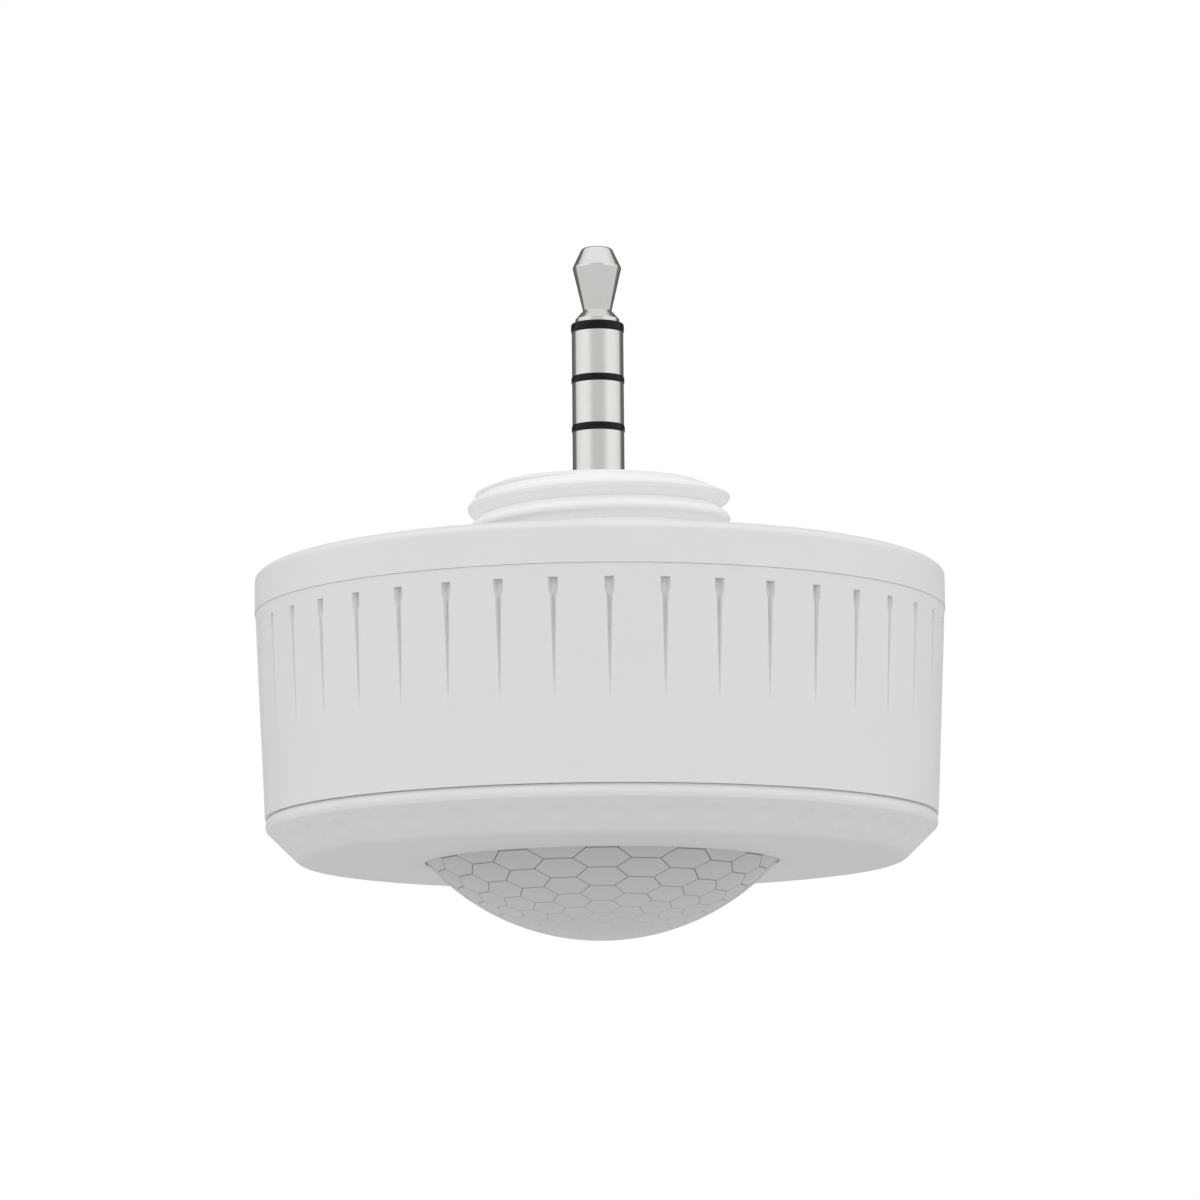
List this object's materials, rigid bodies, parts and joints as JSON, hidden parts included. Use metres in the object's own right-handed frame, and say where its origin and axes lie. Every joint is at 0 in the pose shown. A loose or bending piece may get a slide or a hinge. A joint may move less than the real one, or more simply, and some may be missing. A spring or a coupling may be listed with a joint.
{
  "type": "plug-in motion detector",
  "caption": "Round white ceiling sensor head with a faceted dome lens, a grooved housing ring, a threaded neck and a four-pole plug on top.",
  "frame": {"origin": "centre of the threaded neck in the plane of the flat seat that bears on the luminaire", "axes": "+Z along the neck and the plug, away from the lens; +X to the right; -Y the front"},
  "size_m": [0.0463, 0.0462, 0.047],
  "materials": {
    "white_plastic": "fine matt moulding",
    "lens_plastic": "translucent milky polyethylene",
    "seal_rubber": "matt",
    "nickel": "polished nickel plate",
    "black_plastic": "gloss moulding",
    "wire_black": "satin insulation",
    "wire_white": "satin insulation",
    "wire_yellow": "satin insulation",
    "wire_red": "satin insulation",
    "board_green": "solder resist",
    "screw_steel": "bright plated",
    "window_dark": "coated silicon",
    "clear_epoxy": "clear",
    "red_epoxy": "tinted",
    "tinned_lead": "tinned",
    "capacitor_aluminium": "satin",
    "ceramic_tan": "fired ceramic",
    "switch_blue": "moulded"
  },
  "bodies": {
    "head": {"rear_cover": "white_plastic", "housing_ring": "white_plastic", "neck_seal": "seal_rubber", "cover_seal": "seal_rubber", "plug_tip": "nickel", "plug_ring_front": "nickel", "plug_ring_rear": "nickel", "plug_sleeve": "nickel", "plug_insulator_front": "black_plastic", "plug_insulator_middle": "black_plastic", "plug_insulator_rear": "black_plastic", "plug_holder": "black_plastic", "wire_sleeve": "wire_black", "wire_ring_rear": "wire_white", "wire_ring_front": "wire_yellow", "wire_tip": "wire_red", "circuit_board": "board_green", "board_screws": "screw_steel", "pyro_spacer": "black_plastic", "pyro_header": "screw_steel", "pyro_can": "screw_steel", "pyro_window": "window_dark", "light_sensor": "clear_epoxy", "indicator_led": "red_epoxy", "microcontroller": "black_plastic", "amplifier_chip": "black_plastic", "chip_pins": "tinned_lead", "voltage_regulator": "black_plastic", "capacitor_cans": "capacitor_aluminium", "capacitor_bases": "black_plastic", "chip_resistors": "black_plastic", "chip_capacitors": "ceramic_tan", "dip_switch_body": "switch_blue", "dip_switch_pins": "tinned_lead"},
    "bezel_carrier": {"bezel_seal": "seal_rubber"},
    "bezel": {"front_bezel": "white_plastic", "fresnel_lens": "lens_plastic", "lens_retainer": "white_plastic"},
    "slider_1": {"dip_slider_1": "white_plastic"},
    "slider_2": {"dip_slider_2": "white_plastic"},
    "slider_3": {"dip_slider_3": "white_plastic"},
    "slider_4": {"dip_slider_4": "white_plastic"}
  },
  "joints": [
    {"name": "bezel_lift", "type": "slide", "parent": "head", "child": "bezel_carrier", "axis": [0, 0, -1], "range_m": [0, 0.00402]},
    {"name": "bezel_turn", "type": "hinge", "parent": "bezel_carrier", "child": "bezel", "pos_m": [0, 0, 0], "axis": [0, 0, -1], "range_deg": [0, 120]},
    {"name": "setting_1", "type": "slide", "parent": "head", "child": "slider_1", "axis": [0, 1, 0], "range_m": [0, 0.0018]},
    {"name": "setting_2", "type": "slide", "parent": "head", "child": "slider_2", "axis": [0, 1, 0], "range_m": [0, 0.0018]},
    {"name": "setting_3", "type": "slide", "parent": "head", "child": "slider_3", "axis": [0, 1, 0], "range_m": [0, 0.0018]},
    {"name": "setting_4", "type": "slide", "parent": "head", "child": "slider_4", "axis": [0, 1, 0], "range_m": [0, 0.0018]}
  ],
  "couplings": [
    {"joint": "bezel_lift", "follows": "bezel_turn", "m_per_rad": 0.0019099}
  ]
}
